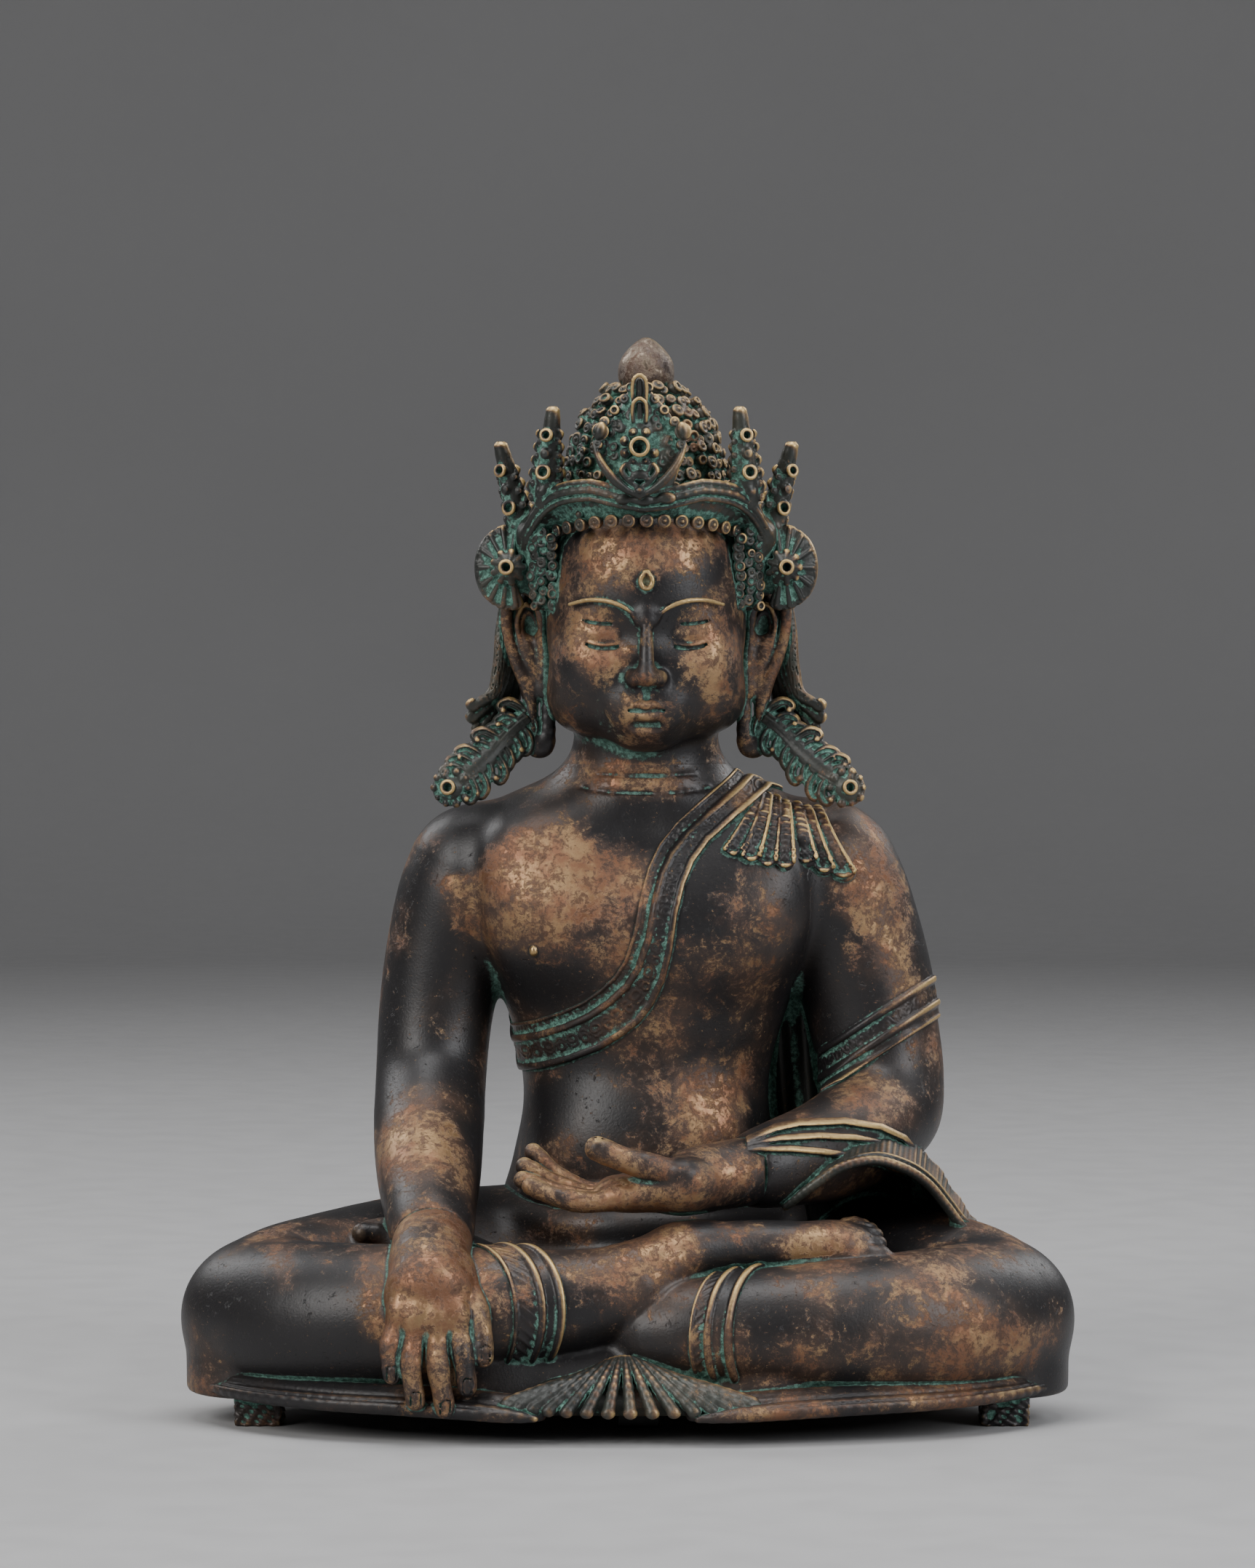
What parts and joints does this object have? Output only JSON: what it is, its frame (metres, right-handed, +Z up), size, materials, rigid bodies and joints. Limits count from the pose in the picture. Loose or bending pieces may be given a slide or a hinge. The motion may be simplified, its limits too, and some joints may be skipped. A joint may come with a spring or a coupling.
{
  "type": "crowned Buddha statue",
  "caption": "Seated crowned Buddha in cast bronze, right hand reaching to the ground and left hand in the lap, hollow and open underneath.",
  "frame": {"origin": "centre of the bounding box at the level of the ground that the statue stands on", "axes": "+Z up; the figure faces -Y; its own left hand is towards +X"},
  "size_m": [0.328, 0.1995, 0.4],
  "materials": {
    "dark_bronze": "dark brown-black patina over cast bronze, satin",
    "worn_bronze": "patina worn through to copper-coloured bronze, satin",
    "green_bronze": "dark patina with green verdigris in the hollows, matt",
    "hem_brass": "worn brass beads over dark engraved ground, satin",
    "bright_brass": "rubbed brass, semi-gloss",
    "pale_bronze": "pale silvery bronze with scratches, semi-gloss",
    "corroded_lug": "heavily corroded teal bronze, matt",
    "joint_metal": "plain brass, unseen inside",
    "black_support": "black paint, satin"
  },
  "bodies": {
    "root": {"torso_casting": "dark_bronze", "legs_casting": "dark_bronze", "head_casting": "worn_bronze", "right_arm_casting": "dark_bronze", "left_arm_casting": "dark_bronze", "right_hand_casting": "worn_bronze", "left_hand_casting": "worn_bronze", "robe_panel": "dark_bronze", "sleeve_drape": "dark_bronze", "hair_dome": "green_bronze", "finial": "pale_bronze", "crown_band": "green_bronze", "crown_leaf_center": "green_bronze", "crown_leaf_inner_right": "green_bronze", "crown_leaf_inner_left": "green_bronze", "crown_leaf_outer_right": "green_bronze", "crown_leaf_outer_left": "green_bronze", "stone_settings": "bright_brass", "crown_rivets": "bright_brass", "right_fan_rosette": "green_bronze", "left_fan_rosette": "green_bronze", "right_ribbon": "green_bronze", "left_ribbon": "green_bronze", "right_shoulder_scroll": "green_bronze", "left_shoulder_scroll": "green_bronze", "urna_setting": "bright_brass", "nipple_inlay": "bright_brass", "chest_hem": "hem_brass", "shoulder_pleats": "hem_brass", "upper_arm_hem": "hem_brass", "forearm_hem": "hem_brass", "right_ankle_hem": "hem_brass", "left_ankle_hem": "hem_brass", "front_fan_hem": "green_bronze", "right_base_hem": "green_bronze", "left_base_hem": "green_bronze", "neck_collar": "joint_metal", "shoulder_dowels": "joint_metal", "right_lug": "corroded_lug", "left_lug": "corroded_lug", "support_bar": "black_support"}
  },
  "joints": []
}
